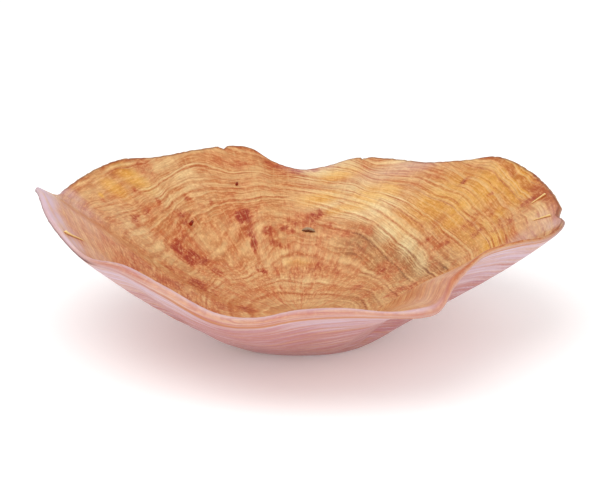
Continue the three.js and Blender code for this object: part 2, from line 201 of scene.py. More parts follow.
# Patterns of the wood, in cells per mm of growth: across the growth lines and along them, then
# scale, detail and roughness. Streaks come out 2.5 mm wide and 33 mm long, and blocks 8 x 11 mm.
# Fibres, about 0.1 mm wide in the real wood, are drawn 0.9 mm wide, and ray flecks, 0.3 mm wide,
# are drawn 1.2 mm wide and 8 mm long, so that they show.
GRAIN = {
    "streak": (0.4, 0.03, 1, 5, 0.65), "block": (0.13, 0.09, 1, 6, 0.68),
    "torn": (0.5, 0.2, 1, 5, 0.65), "fibre": (1.1, 0.3, 1, 3, 0.7),
    "fleck": (0.12, 0.85, 1, 3, 0.6), "mottle": (0.22, 0.012, 1, 4, 0.6),
    "thin": (0.4, 0.03, 0.8, 3, 0.5), "outer_streak": (0.75, 0.03, 1, 4, 0.6),
}

# Patterns that don't follow the growth: cells per metre, detail and roughness. The lines wander over
# 33 mm and ripple over 8, and pores, about 0.1 mm wide in the real wood, are drawn 1.1 mm apart.
FREE_PATTERNS = {
    "wander": (30, 2, 0.5), "ripple": (120, 3, 0.5), "fade": (45, 2, 0.5), "cloud": (26, 5, 0.6),
    "lacquer": (210, 4, 0.65), "pores": (900, 2, 0.5),
}

# Settings of a Mix node for colours, whose inputs 0, 6 and 7 are the share and the two colours
OF_COLOURS = {"out": 2, "data_type": "RGBA"}

# Satin lacquer over wood and filler
LACQUER = {"IOR": 1.5, "Specular IOR Level": 0.18, "Coat Weight": 0.08, "Coat Roughness": 0.2}

# Mesh of the bowl: columns round it, and rows from the middle of the foot round to the inside
COLUMNS = 450
CHIP_COLUMNS = 10
FOOT_ROWS = 6
OUTER_ROWS = 72
ROUNDING_STEPS = 4
INNER_ROWS = 92
FLOOR_ROWS = 7
SURVEY = 4000  # places round the rim at which it is measured to find a place on it
PROFILE_STEPS = 200  # the same down the inner wall
MERGE_WITHIN = 1e-6
CHIP_HOLLOWNESS = 0.8  # power of a chip's sides: 1 is straight
OUTSIDE_FROM = (-0.2, 1.2)  # half thicknesses out from the edge's middle, where the outer look sets in

# Waves of sanding along the edge, which is taken as a ring of radius 1, and hollows of the carving,
# per metre. Each noise has its fractal increment, lacunarity and octaves.
WAVE_SCALE = 46.8
WAVE_NOISE = (0.6, 2.0, 4)
HOLLOW_SCALE = 22
HOLLOW_NOISE = (0.7, 2.1, 3)
HOLLOW_CONTRAST = 0.7
HOLLOWS_FROM_EDGE = (3, 24)  # mm from the edge's middle over which they grow to their depth
HOLLOWS_FROM_FOOT = (46, 75)  # mm along the profile from the middle of the foot
HOLLOWS_FROM_FILLINGS = (5 * MM, 16 * MM)
SAME_POINT = 1e-4  # the root of the distance below which two of a spline's points count as one

# Fillings and knots, which stand a hair proud
SECTIONS = 28
SECTION_SIDES = 16
FILLING_CROWN = 0.1 * MM
FILLING_TAPER = 0.7  # share of its width that a tapered one loses
SPINDLE_POWER = 0.7  # power of the others' sides: below 1 they are blunter
FILLING_ENDS = (0.07, 0.8)  # shares of the length where the start is full and the end begins to close
FILLING_RAGGED = (0.35, 600)  # share of the width, and cells per metre
KNOT_SIDES = 24
KNOT_TAPER = 0.7  # radius at the plug's inner end, as a share
KNOT_INSET = 0.35  # share of the radius
KNOT_PROUD = 0.06 * MM
KNOT_BEVEL = 0.25 * MM
KNOT_RAGGED = (0.16, 900)  # share of the radius, and cells per metre
KNOT_VARIETY = 50  # shifts the noise with a knot's place, so that no two are alike


def srgb(code):
    """Linear colour of an sRGB hex code."""
    shares = [int(code[i:i + 2], 16) / 255 for i in (0, 2, 4)]
    return tuple(c / 12.92 if c <= 0.04045 else ((c + 0.055) / 1.055) ** 2.4 for c in shares)


def colour_property(name, description, code):
    """A colour setting with its default from an sRGB hex code."""
    return FloatVectorProperty(name=name, description=description, subtype="COLOR", size=3,
                               min=0, max=1, default=srgb(code))


def length_property(name, description, metres):
    """A length setting with its default."""
    return FloatProperty(name=name, description=description, default=metres, unit="LENGTH")


class RootBowlShape(bpy.types.PropertyGroup):
    """Driving sizes of the bowl."""
    rim_length: length_property("Rim length", "Length of the rim's oval, tip to tip", 0.4)
    rim_width: length_property("Rim width", "Width of the rim's oval, front to back", 0.315)
    rim_height: length_property("Rim height", "Height that the stations' rise is a share of", 0.12)
    lip_hold: length_property(
        "Lip hold", "Distance down the wall that the stations' lip is a share of", 0.05)
    edge_thickness: length_property(
        "Edge thickness", "Thickness that the stations' edge is a share of", 0.006)
    edge_roundness: FloatProperty(
        name="Edge roundness", description="Rounding of the rim's corners, as a share of its thickness",
        default=0.36, subtype="FACTOR")
    foot_half_length: length_property(
        "Foot half length", "Half the foot's length, left to right", 0.0525)
    foot_half_width: length_property("Foot half width", "Half the foot's width, front to back", 0.0485)
    foot_squareness: FloatProperty(
        name="Foot squareness", description="Power of the foot's superellipse: 2 is an ellipse",
        default=2.5)
    foot_flare: FloatProperty(
        name="Foot flare", description="Angle at which the outer wall leaves the foot",
        default=math.radians(20.5), subtype="ANGLE")
    foot_hold: length_property("Foot hold", "Distance that the outer wall holds that angle", 0.0285)
    floor_thickness: length_property("Floor thickness", "Thickness of the wood over the foot", 0.013)
    floor_flat_radius: length_property(
        "Floor flat radius", "Radius of the flat middle of the floor", 0.016)
    floor_spread: length_property(
        "Floor spread", "How far past the foot's outline the inner wall heads for the floor", 0.02)
    hollow_depth: length_property(
        "Hollow depth", "Depth of the shallow hollows that the carving left", 0.0007)
    nibble_depth: length_property(
        "Nibble depth", "Depth of the small waves that sanding left along the edge", 0.0006)


class RootBowlFinish(bpy.types.PropertyGroup):
    """Colours and grain of the wood and its fillings."""
    honey: colour_property("Honey wood", "Wood between the growth lines", "C17E49")
    pale: colour_property("Pale wood", "Pale wood between the growth lines", "E1BA82")
    cream: colour_property("Cream wood", "Palest wood, in a band across the back", "EAD5A0")
    line: colour_property("Growth line", "Dark side of each growth ring", "AC521F")
    blush: colour_property("Blush", "Red-brown clouds inside the bowl", "BC5526")
    stain: colour_property("Red stain", "Red-brown heart stains", "96270F")
    gold: colour_property("Gold wood", "Yellow zones", "E1A22F")
    olive: colour_property("Olive wood", "Greenish-brown zones", "946033")
    olive_line: colour_property("Olive growth line", "Growth lines in the greenish-brown zones", "5C3F26")
    amber: colour_property("Amber line", "Line along the outer corner of the near rim", "BA7634")
    peach: colour_property("Peach wood", "Calm wood of the left wall and the lip", "CC8562")
    # Painted sheen: the pale floor's reflection on the outer wall, and highlights on the lips and the near
    # rim, painted into the colour
    painted_sheen: colour_property("Milky lacquer", "Outer wall under a milky lacquer", "CAB0BF")
    frost: colour_property("Frosty streak", "Palest streaks of the outer wall", "DCCDD6")
    rose: colour_property("Rose wood", "Reddish wood of the outer wall", "B4747E")
    edge_line: colour_property("Edge line", "Lacquer darkened on the end grain at the edge", "6A2E16")
    filler: colour_property("Pale filler", "Wood-dust filler in the checks", "F2D692")
    bark_filler: colour_property("Grey filler", "Filler in the bark pocket", "A59378")
    knot: colour_property("Pin knot", "Dark pin knots", "7C321E")
    ring_width: length_property("Ring width", "Usual width of one growth ring", 0.003)


class RootBowlStage(bpy.types.PropertyGroup):
    """Floor, light and camera."""
    camera_distance: length_property("Camera distance", "From the camera to the middle of the foot", 1.5)
    camera_elevation: FloatProperty(
        name="Camera elevation", description="Angle of the camera above the foot",
        default=math.radians(22), subtype="ANGLE")
    focal_length: FloatProperty(
        name="Focal length", description="Of the lens, in mm on a 36 mm wide sensor", default=117.2)
    foot_below_middle: FloatProperty(
        name="Foot below middle", description="How far below the picture's middle the foot lies, "
        "as a share of the picture's width", default=81 / 600)
    floor_colour: colour_property("Floor colour", "Plain pale floor", "FAF9F8")
    floor_glow: FloatProperty(
        name="Floor glow", description="Strength of the light through the floor", default=0.15)
    floor_size: length_property("Floor size", "Side of the floor", 8)
    sky_strength: FloatProperty(name="Sky strength", description="Strength of the even light", default=0.8)
    key_power: FloatProperty(name="Key power", description="Power of the large soft light", default=20)
    fill_power: FloatProperty(name="Fill power", description="Power of the soft light in front", default=11)


def closed_spline(points, t):
    """Places at t, from 0 to 1, on the closed centripetal Catmull-Rom curve through points."""
    count = len(points)
    place = np.asarray(t) * count
    whole = np.floor(place).astype(int)
    share = (place - whole)[:, None]
    before, start, end, after = [points[(whole + k) % count] for k in (-1, 0, 1, 2)]
    first, middle, last = (np.sqrt(np.linalg.norm(b - a, axis=1))[:, None]
                           for a, b in ((before, start), (start, end), (end, after)))
    middle = np.where(middle < SAME_POINT, 1, middle)
    first = np.where(first < SAME_POINT, middle, first)
    last = np.where(last < SAME_POINT, middle, last)
    leave = ((start - before) / first - (end - before) / (first + middle)) * middle + (end - start)
    arrive = ((after - end) / last - (after - start) / (middle + last)) * middle + (end - start)
    return (start + leave * share + (3 * (end - start) - 2 * leave - arrive) * share ** 2
            + (2 * (start - end) + leave + arrive) * share ** 3)


def bezier(a, b, c, d, share):
    """Points at shares, from 0 to 1, of cubic Bezier curves with rows of control points a, b, c and d."""
    s = share[None, :, None]
    a, b, c, d = (q[:, None, :] for q in (a, b, c, d))
    return a * (1 - s) ** 3 + 3 * b * s * (1 - s) ** 2 + 3 * c * s ** 2 * (1 - s) + d * s ** 3


def smooth(value, low, high):
    """Soft step from 0 at low to 1 at high."""
    share = np.clip((value - low) / (high - low), 0, 1)
    return share * share * (3 - 2 * share)


class Wall:
    """The bowl's wall at parameters t round the rim. Flat points hold the distance from the axis
    and the height."""

    def __init__(self, shape, t, cut=0):
        at, swell, rise, flare, lip, edge = np.array(RIM_STATIONS, float).T
        at = np.radians(at)
        rim = closed_spline(np.stack([
            shape.rim_length / 2 * swell * np.cos(at),
            shape.rim_width / 2 * swell * np.sin(at),
            shape.rim_height * rise], 1), t)
        held = closed_spline(np.stack([
            flare, lip * shape.lip_hold / MM, edge * shape.edge_thickness / MM], 1), t)
        tilt = np.radians(held[:, 0])
        self.rim = rim
        self.angle = np.arctan2(rim[:, 1], rim[:, 0])
        self.out = np.stack([np.cos(tilt), np.sin(tilt)], 1)
        self.inward = np.stack([-self.out[:, 1], self.out[:, 0]], 1)
        self.thickness = held[:, 2:3] * MM
        self.rounding = self.thickness * shape.edge_roundness
        tip = np.stack([np.hypot(rim[:, 0], rim[:, 1]), rim[:, 2]], 1)
        self.middle = tip - self.out * (self.rounding + np.reshape(cut, (-1, 1)))
        hold = self.out * held[:, 1:2] * MM
        outer_end = self.middle - self.inward * self.thickness / 2
        inner_end = self.middle + self.inward * self.thickness / 2
        reach = (np.abs(np.cos(self.angle) / shape.foot_half_length) ** shape.foot_squareness
                 + np.abs(np.sin(self.angle) / shape.foot_half_width) ** shape.foot_squareness
                 ) ** (-1 / shape.foot_squareness)
        self.foot = np.stack([reach, 0 * reach], 1)
        leaving = shape.foot_hold * np.array([math.cos(shape.foot_flare), math.sin(shape.foot_flare)])
        floor = np.array([0, shape.floor_thickness])
        self.outer = (self.foot, self.foot + leaving, outer_end - hold, outer_end)
        self.inner = (inner_end, inner_end - hold, self.foot + floor + (shape.floor_spread, 0),
                      0 * self.foot + floor + (shape.floor_flat_radius, 0))

    def upright(self, flat):
        """Places in space of flat points."""
        across = flat[..., 0]
        return np.stack([across * np.cos(self.angle)[:, None], across * np.sin(self.angle)[:, None],
                         flat[..., 1]], -1)

    def edge(self):
        """Flat points of the rounded edge, from the outer wall to the inner one."""
        turns = np.linspace(0, math.pi / 2, ROUNDING_STEPS + 1)
        rows = []
        for side, order in ((-1, turns), (1, turns[::-1])):
            for turn in order:
                rows.append(self.middle + self.out * self.rounding * math.sin(turn) + self.inward * side
                            * (self.thickness / 2 - self.rounding * (1 - math.cos(turn))))
        return np.stack(rows, 1)


def rim_survey(shape):
    """Parameters round the rim, each one's place round the oval in degrees, and its distance along it."""
    t = np.linspace(0, 1, SURVEY + 1)
    rim = Wall(shape, t).rim
    at = np.degrees(np.unwrap(np.arctan2(rim[:, 1] / shape.rim_width, rim[:, 0] / shape.rim_length)))
    steps = np.linalg.norm(np.diff(rim, axis=0), axis=1)
    return t, at, np.concatenate([[0], np.cumsum(steps)])


def parameter_at(shape, degrees):
    """Parameter of the rim at a place round the oval."""
    t, at, _ = rim_survey(shape)
    return np.interp((np.asarray(degrees) - at[0]) % 360 + at[0], at, t)


def columns(shape):
    """Parameters of the mesh's columns, closer together across each chip, and how deep the edge is
    cut there by chips and by the small waves of sanding."""
    t, _, along = rim_survey(shape)
    columns_at = [np.interp(np.linspace(0, 1, COLUMNS + 1), along / along[-1], t)]
    cuts = []
    for chip in CHIPS:
        middle = np.interp(parameter_at(shape, chip.at), t, along)
        half = chip.width * MM / 2
        low, deepest, high = middle + np.array([-half, chip.deepest * chip.width * MM, half])
        for start, end in ((low, deepest), (deepest, high)):
            columns_at.append(np.interp(np.linspace(start, end, CHIP_COLUMNS), along, t))
        cuts.append((low, deepest, high, chip.depth * MM))
    places = np.unique(np.concatenate(columns_at).round(9))
    distance = np.interp(places, t, along)
    cut = np.zeros(len(places))
    for low, deepest, high, depth in cuts:
        share = np.where(distance < deepest, (distance - low) / (deepest - low),
                         (high - distance) / (high - deepest))
        cut = np.maximum(cut, depth * np.clip(share, 0, 1) ** CHIP_HOLLOWNESS)
    turn = 2 * math.pi * distance / along[-1]
    waves = np.array([noise.fractal(Vector((x, y, 0)) * WAVE_SCALE, *WAVE_NOISE)
                      for x, y in zip(np.cos(turn), np.sin(turn))])
    return places, cut + shape.nibble_depth * np.clip(0.5 + waves, 0, 1)


def growth_field(places):
    """Distance from the heart, in mm of growth, at places over the plan in mm: the smoothest field
    whose level lines follow the drawn growth lines."""
    known = np.array([place for value, line in GROWTH_LINES for place in line], float)
    values = np.array([value for value, line in GROWTH_LINES for place in line], float)
    span = np.linalg.norm(known[:, None] - known[None], axis=2) / SPLINE_UNIT
    plane = np.c_[np.ones(len(known)), known / SPLINE_UNIT]
    system = np.block([[span ** 3 + SPLINE_SLACK * np.eye(len(known)), plane],
                       [plane.T, np.zeros((3, 3))]])
    weights = np.linalg.solve(system, np.r_[values, np.zeros(3)])
    result = np.c_[np.ones(len(places)), places / SPLINE_UNIT] @ weights[len(known):]
    for (x, y), weight in zip(known, weights):
        result += weight * (np.hypot(places[:, 0] - x, places[:, 1] - y) / SPLINE_UNIT) ** 3
    return result


def zone(places, patches):
    """How strongly places over the plan lie in soft oval patches, from 0 to 1."""
    result = np.zeros(len(places))
    for x, y, half_x, half_y, strength in patches:
        reach = np.hypot((places[:, 0] - x) / half_x, (places[:, 1] - y) / half_y)
        result = np.maximum(result, strength * (1 - smooth(reach, *ZONE_FADES)))
    return result


def inner_frames(shape, path):
    """Places on the inner face along a path of (degrees, mm down), and the face's outward normals."""
    near = 0.5  # degrees, and mm down
    path = np.array(path, float)
    found = []
    for step in ((0, 0), (-near, 0), (near, 0), (0, -near), (0, near)):
        at, down = (path + step).T
        wall = Wall(shape, parameter_at(shape, at))
        flat = bezier(*wall.inner, np.linspace(0, 1, PROFILE_STEPS))
        length = np.linalg.norm(np.diff(flat, axis=1), axis=2)
        run = np.concatenate([np.zeros((len(path), 1)), np.cumsum(length, 1)], 1)
        point = np.stack([[np.interp(d * MM, r, f[:, k]) for k in (0, 1)]
                          for d, r, f in zip(down, run, flat)])
        found.append(wall.upright(point[:, None])[:, 0])
    normal = np.cross(found[4] - found[3], found[2] - found[1])
    return found[0], normal / np.linalg.norm(normal, axis=1)[:, None]


def smooth_path(path, count):
    """Places along a soft line through a path's points."""
    path = np.array(path, float)
    run = np.linspace(0, len(path) - 1, count)
    ends = np.vstack([2 * path[0] - path[1], path, 2 * path[-1] - path[-2]])
    whole = np.minimum(run.astype(int), len(path) - 2)
    share = (run - whole)[:, None]
    a, b, c, d = (ends[whole + k] for k in range(4))
    return 0.5 * (2 * b + (c - a) * share + (2 * a - 5 * b + 4 * c - d) * share ** 2
                  + (3 * b - a - 3 * c + d) * share ** 3)


def new_piece(name, body_mesh, material, node):
    """Links a finished bmesh as a smooth piece that rides on the bowl's body in place of a CAD node."""
    mesh = bpy.data.meshes.new(name)
    body_mesh.to_mesh(mesh)
    body_mesh.free()
    mesh.shade_smooth()
    mesh.materials.append(material)
    piece = bpy.data.objects.new(name, mesh)
    bpy.context.scene.collection.objects.link(piece)
    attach(piece, "root")
    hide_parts(node)
    return piece


def close_up(shell):
    """Merges a rolled-up sheet's seam and poles, and turns its faces outwards."""
    bmesh.ops.remove_doubles(shell, verts=shell.verts, dist=MERGE_WITHIN)
    bmesh.ops.recalc_face_normals(shell, faces=shell.faces)


def rolled_sheet(columns_count, rows_count):
    """A flat sheet to be rolled up, and the column and row of each of its vertices."""
    sheet = bmesh.new()
    bmesh.ops.create_grid(sheet, x_segments=columns_count, y_segments=rows_count, size=0.5)
    places = np.array([v.co[:2] for v in sheet.verts]) + 0.5
    return sheet, np.rint(places * (columns_count, rows_count)).astype(int)


def bowl_mesh(shape):
    """The carved bowl as a closed bmesh, with the layers that its wood reads."""
    t, cut = columns(shape)
    wall = Wall(shape, t, cut)
    outer = bezier(*wall.outer, np.linspace(0, 1, OUTER_ROWS + 1))[:, :-1]
    inner = bezier(*wall.inner, np.linspace(0, 1, INNER_ROWS + 1))[:, 1:]
    edge = wall.edge()
    foot = wall.foot[:, None] * np.linspace(0, 1, FOOT_ROWS + 1)[None, :-1, None]
    floor = inner[:, -1:] * (np.linspace(1, 0, FLOOR_ROWS + 1)[None, 1:, None] * (1, 0) + (0, 1))
    flat = np.concatenate([foot, outer, edge, inner, floor], 1)

    # Distance from the edge's middle along the profile, in mm: below 0 outside, above 0 inside
    steps = np.linalg.norm(np.diff(flat, axis=1), axis=2)
    run = np.concatenate([np.zeros((len(t), 1)), np.cumsum(steps, 1)], 1) / MM
    first = FOOT_ROWS + OUTER_ROWS
    half = edge.shape[1] // 2
    from_edge = run - (run[:, first + half - 1:first + half] + run[:, first + half:first + half + 1]) / 2
    thick = wall.thickness / MM / 2

    # Shallow hollows of the carving, always into the wood, and none on the foot, edge and fillings
    along = np.gradient(flat, axis=1)
    along /= np.maximum(np.linalg.norm(along, axis=2), 1e-12)[..., None]
    into = np.stack([-along[..., 1], along[..., 0]], -1)
    space = wall.upright(flat)
    hills = np.array([noise.fractal(Vector(p) * HOLLOW_SCALE, *HOLLOW_NOISE)
                      for p in space.reshape(-1, 3)])
    depth = smooth(np.abs(from_edge), *HOLLOWS_FROM_EDGE) * smooth(run, *HOLLOWS_FROM_FOOT)
    paths = [smooth_path(f.path, 5) for f in (*CHECK_FILLINGS, BARK_POCKET)]
    for place in np.concatenate([inner_frames(shape, path)[0] for path in paths
                                 + [[(k.at, k.down)] for k in PIN_KNOTS]]):
        depth = depth * smooth(np.linalg.norm(space - place, axis=2), *HOLLOWS_FROM_FILLINGS)
    hills = np.clip(0.5 + HOLLOW_CONTRAST * hills.reshape(depth.shape), 0, 1)
    depth = shape.hollow_depth * depth * hills
    flat = flat + into * depth[..., None]
    space = wall.upright(flat)

    # What the wood reads: growth inside the bowl follows the drawn lines, and outside it the rim
    outside = smooth(-from_edge / thick, *OUTSIDE_FROM).ravel()
    inside = 1 - outside
    plan = space[..., :2].reshape(-1, 2) / MM
    turn = np.arctan2(plan[:, 1] - HEART_BACK, plan[:, 0])
    at_edge, swing, fall = OUTER_GROWTH
    outer_age = at_edge + swing * np.sin(2 * turn) - fall * np.abs(from_edge).ravel()
    age = growth_field(plan) * inside + outer_age * outside
    tints = [zone(plan, patches) * inside for patches in (RED_STAINS, GOLD_ZONES, OLIVE_ZONES, PAINTED_SHEEN_ZONES)]
    tints[1] += zone(plan, OUTER_GOLD_ZONES) * outside

    sheet, order = rolled_sheet(len(t) - 1, flat.shape[1] - 1)
    kinds = sheet.verts.layers
    layers = []
    for name, kind, values in (
            ("growth", kinds.float_vector, np.stack([age, RING_RADIUS * np.cos(turn),
                                                     RING_RADIUS * np.sin(turn)], 1)),
            ("tints", kinds.float_color, np.stack(tints, 1)),
            ("outside", kinds.float, outside),
            ("edge_place", kinds.float, (from_edge / thick).ravel()),
            ("cream", kinds.float, zone(plan, CREAM_ZONES) * inside),
            ("calm", kinds.float, zone(plan, CALM_ZONES) * inside)):
        layers.append((kind.new(name), values.reshape(*flat.shape[:2], *values.shape[1:])))
    for vertex, (column, row) in zip(sheet.verts, order):
        vertex.co = space[column, row]
        for layer, values in layers:
            vertex[layer] = values[column, row]
    close_up(sheet)
    return sheet


def filling_mesh(shape, filling):
    """A filling as a closed bmesh: a sliver along its path, a hair proud and wedged into the wood."""
    points, normals = inner_frames(shape, smooth_path(filling.path, SECTIONS + 1))
    along = np.gradient(points, axis=0)
    side = np.cross(normals, along)
    side /= np.linalg.norm(side, axis=1)[:, None]
    share = np.linspace(0, 1, SECTIONS + 1)
    spindle = np.sin(math.pi * share) ** SPINDLE_POWER
    fullness = 1 - FILLING_TAPER * share if filling.tapered else spindle
    full_from, closing_from = FILLING_ENDS
    ends = smooth(share, 0, full_from) * (1 - smooth(share, closing_from, 1))
    raggedness, scale = FILLING_RAGGED
    ragged = np.array([noise.noise(Vector(p) * scale) for p in points])
    half = filling.width * MM / 2 * fullness * ends * (1 + raggedness * ragged)
    turns = np.linspace(0, 2 * math.pi, SECTION_SIDES + 1)
    sheet, order = rolled_sheet(SECTIONS, SECTION_SIDES)
    rim_layer = sheet.verts.layers.float.new("from_middle")
    for vertex, (section, turn) in zip(sheet.verts, order):
        vertex[rim_layer] = max(abs(math.cos(turns[turn])), abs(2 * share[section] - 1) ** 6)
        up = math.sin(turns[turn])
        lift = FILLING_CROWN * up if up > 0 else filling.depth * MM * up * fullness[section]
        vertex.co = (points[section] + side[section] * half[section] * math.cos(turns[turn])
                     + normals[section] * lift * ends[section])
    close_up(sheet)
    return sheet


def knot_mesh(shape, knot):
    """A pin knot as a closed bmesh: a plug with a soft irregular outline, a hair proud."""
    (point,), (normal,) = inner_frames(shape, [(knot.at, knot.down)])
    plug = bmesh.new()
    radius = knot.diameter * MM / 2
    bmesh.ops.create_cone(plug, cap_ends=True, segments=KNOT_SIDES, radius1=radius * KNOT_TAPER,
                          radius2=radius, depth=knot.depth * MM)
    caps = [f for f in plug.faces if len(f.verts) > 4]
    bmesh.ops.inset_region(plug, faces=caps, thickness=radius * KNOT_INSET, depth=0)
    bmesh.ops.poke(plug, faces=caps)
    rim = [e for e in plug.edges if all(v.co.z > 0 and v.co.xy.length > radius * 0.95 for v in e.verts)]
    bmesh.ops.bevel(plug, geom=rim, offset=KNOT_BEVEL, offset_type="OFFSET", segments=3, profile=0.5,
                    affect="EDGES", material=-1)
    rim_layer = plug.verts.layers.float.new("from_middle")
    raggedness, scale = KNOT_RAGGED
    for vertex in plug.verts:
        vertex[rim_layer] = vertex.co.xy.length / radius
        at = Vector((vertex.co.x, vertex.co.y, 0)) * scale + Vector(point) * KNOT_VARIETY
        wave = 1 + raggedness * noise.noise(at)
        vertex.co.x *= wave
        vertex.co.y *= wave
    turn = Vector((0, 0, 1)).rotation_difference(Vector(normal)).to_matrix().to_4x4()
    sink = KNOT_PROUD - knot.depth * MM / 2
    move = Matrix.Translation(Vector(point) + Vector(normal) * sink)
    bmesh.ops.transform(plug, verts=plug.verts, matrix=move @ turn)
    bmesh.ops.recalc_face_normals(plug, faces=plug.faces)
    return plug


def opaque(colour):
    """A colour with full opacity, as node sockets want it."""
    return (*colour, 1)


def add(tree, kind, inputs=(), operation=None, out=0, **settings):
    """Adds a shader node with its operation and other settings, and with values or links for its
    inputs, in order or by key, and gives back one of its outputs."""
    made = tree.nodes.new("ShaderNode" + kind)
    if operation:
        made.operation = operation
    for name, value in settings.items():
        setattr(made, name, value)
    for key, value in (inputs.items() if isinstance(inputs, dict) else enumerate(inputs)):
        if isinstance(value, bpy.types.NodeSocket):
            tree.links.new(value, made.inputs[key])
        else:
            made.inputs[key].default_value = opaque(value) if isinstance(value, Color) else value
    return made.outputs[out]


def new_material(name, values):
    """A new material, its node tree, and its Principled shader with some values set."""
    material = bpy.data.materials.new(name)
    material.use_nodes = True
    shader = material.node_tree.nodes["Principled BSDF"]
    for key, value in values.items():
        shader.inputs[key].default_value = value
    return material, material.node_tree, shader


def layered(node, colour, *layers):
    """The colour with layers of other hues over it, each with the two factors of its share."""
    for share, where, hue in layers:
        share = node("Math", (share, where), "MULTIPLY")
        colour = node("Mix", {0: share, 6: colour, 7: hue}, **OF_COLOURS)
    return colour


def root_wood(finish):
    """Root wood, carved, sanded and sprayed with satin lacquer. The eye gets honey wood with fine
    orange-brown growth lines, red-brown clouds and stains, a rose outer wall under a painted milky sheen,
    and painted milky highlights inside by the rim."""
    material, tree, shader = new_material("root_wood_satin_lacquer", LACQUER)
    node = partial(add, tree)
    wood = SimpleNamespace(
        place=node("TexCoord", out="Object"),
        growth=node("Attribute", out="Vector", attribute_name="growth"),
        sheen_zone=node("Attribute", out="Alpha", attribute_name="tints"))
    wood.age = node("SeparateXYZ", (wood.growth,), out="X")
    tints = node("Attribute", out="Color", attribute_name="tints")
    for name, channel in (("stain", "Red"), ("gold", "Green"), ("olive", "Blue")):
        setattr(wood, name, node("SeparateColor", (tints,), out=channel))
    for name in ("outside", "edge_place", "cream", "calm"):
        setattr(wood, name, node("Attribute", out="Fac", attribute_name=name))
    wood.bare = node("Math", (1.0, wood.outside), "SUBTRACT")
    wood.lively = node("Math", (wood.calm, -0.75, 1.0), "MULTIPLY_ADD")
    # Share of the wood out of the painted sheen, where the growth lines show
    wood.clear = node("Math", (wood.sheen_zone, -0.8, 1.0), "MULTIPLY_ADD")
    for name, (across, along, scale, detail, roughness) in GRAIN.items():
        stretched = node("VectorMath", (wood.growth, (across, along, along)), "MULTIPLY")
        setattr(wood, name, node("TexNoise", {"Vector": stretched, "Scale": scale, "Detail": detail,
                                              "Roughness": roughness}))
    for name, (scale, detail, roughness) in FREE_PATTERNS.items():
        setattr(wood, name, node("TexNoise", {"Vector": wood.place, "Scale": scale, "Detail": detail,
                                              "Roughness": roughness}))

    line, pale_band, drawn = growth_lines(node, wood, finish.ring_width / MM)
    colour = inner_wood(node, wood, finish, line, pale_band, drawn)
    colour = outer_wall(node, wood, finish, colour)
    colour = edge_bands(node, wood, finish, colour)

    # Lacquer fills the pores unevenly, and the growth lines stand a little proud under it
    gloss = node("MapRange", (wood.lacquer, 0.3, 0.7, 0.34, 0.48))
    relief = node("Math", (wood.pores, 0.35, line), "MULTIPLY_ADD")
    bump = node("Bump", {"Height": relief, "Distance": 0.12 * MM, "Strength": 0.7}, out="Normal")
    for key, output in (("Base Color", colour), ("Roughness", gloss), ("Normal", bump)):
        tree.links.new(output, shader.inputs[key])
    return material


def growth_lines(node, wood, ring_width):
    """How strong the dark growth lines are, and the pale bands beside them, and the age in mm of
    growth that they are drawn by."""
    # The lines wander, ripple and vary in pace
    drawn = node("Math", (wood.wander, 7.0, wood.age), "MULTIPLY_ADD")
    drawn = node("Math", (wood.ripple, 0.8, drawn), "MULTIPLY_ADD")
    pace = node("TexNoise", {"W": drawn, "Scale": 0.09, "Detail": 1}, noise_dimensions="1D")
    drawn = node("Math", (pace, 14.0, drawn), "MULTIPLY_ADD")
    rings = node("Math", (drawn, ring_width), "DIVIDE")
    phase = node("Math", (rings,), "FRACT")
    number = node("Math", (rings,), "FLOOR")
    late = node("MapRange", (phase, 0.58, 0.9, 0, 1), interpolation_type="SMOOTHSTEP")
    sharp = node("MapRange", (phase, 0.9, 1.0, 1, 0), interpolation_type="SMOOTHSTEP")
    year = node("TexWhiteNoise", {"W": number}, out="Value", noise_dimensions="1D")
    hard_year = node("Math", (year, 2.2), "POWER")
    strength = node("MapRange", (hard_year, 0, 1, 0.22, 1))

    # They fade in and out along their length, and are faint near the heart, in calm wood and under the
    # painted sheen
    fade = node("MapRange", (wood.fade, 0.35, 0.62, 0.3, 1))
    old = node("MapRange", (wood.age, 105, 140, 0.55, 1))
    line = late
    for share in (sharp, strength, fade, old, wood.lively, wood.clear):
        line = node("Math", (line, share), "MULTIPLY")

    # Some stand out from end to end, with pale wood beside them
    steady = node("Math", (wood.ripple, 0.6, wood.age), "MULTIPLY_ADD")
    steady = node("Math", (wood.wander, 4.5, steady), "MULTIPLY_ADD")
    strong, beside = line, 0.0
    for value in STRONG_LINES:
        apart = node("Math", (steady, value + STRONG_LINE_SHIFT), "SUBTRACT")
        core = node("Math", (apart,), "ABSOLUTE")
        core = node("MapRange", (core, 0.8, 0.15, 0, 1))
        strong = node("Math", (strong, core), "MAXIMUM")
        next_to = node("Math", (apart, PALE_WOOD_OFFSET), "SUBTRACT")
        next_to = node("Math", (next_to,), "ABSOLUTE")
        next_to = node("MapRange", (next_to, 0.9, 0.2, 0, 0.7))
        beside = node("Math", (beside, next_to), "MAXIMUM")
    for share in (fade, wood.lively, wood.clear, 0.8, wood.bare):
        strong = node("Math", (strong, share), "MULTIPLY")
    beside = node("Math", (beside, fade), "MULTIPLY")
    line = node("Math", (strong, line), "MAXIMUM")

    # Beside a dark line, the young wood of the next ring is pale
    young = node("MapRange", (phase, 0.0, 0.12, 0, 1))
    ripe = node("MapRange", (phase, 0.12, 0.5, 1, 0))
    pale_band = node("Math", (young, ripe), "MULTIPLY")
    pale_band = node("Math", (pale_band, strength), "MULTIPLY")
    pale_band = node("Math", (pale_band, beside), "MAXIMUM")
    for share in (wood.clear, wood.lively):
        pale_band = node("Math", (pale_band, share), "MULTIPLY")
    return line, pale_band, drawn


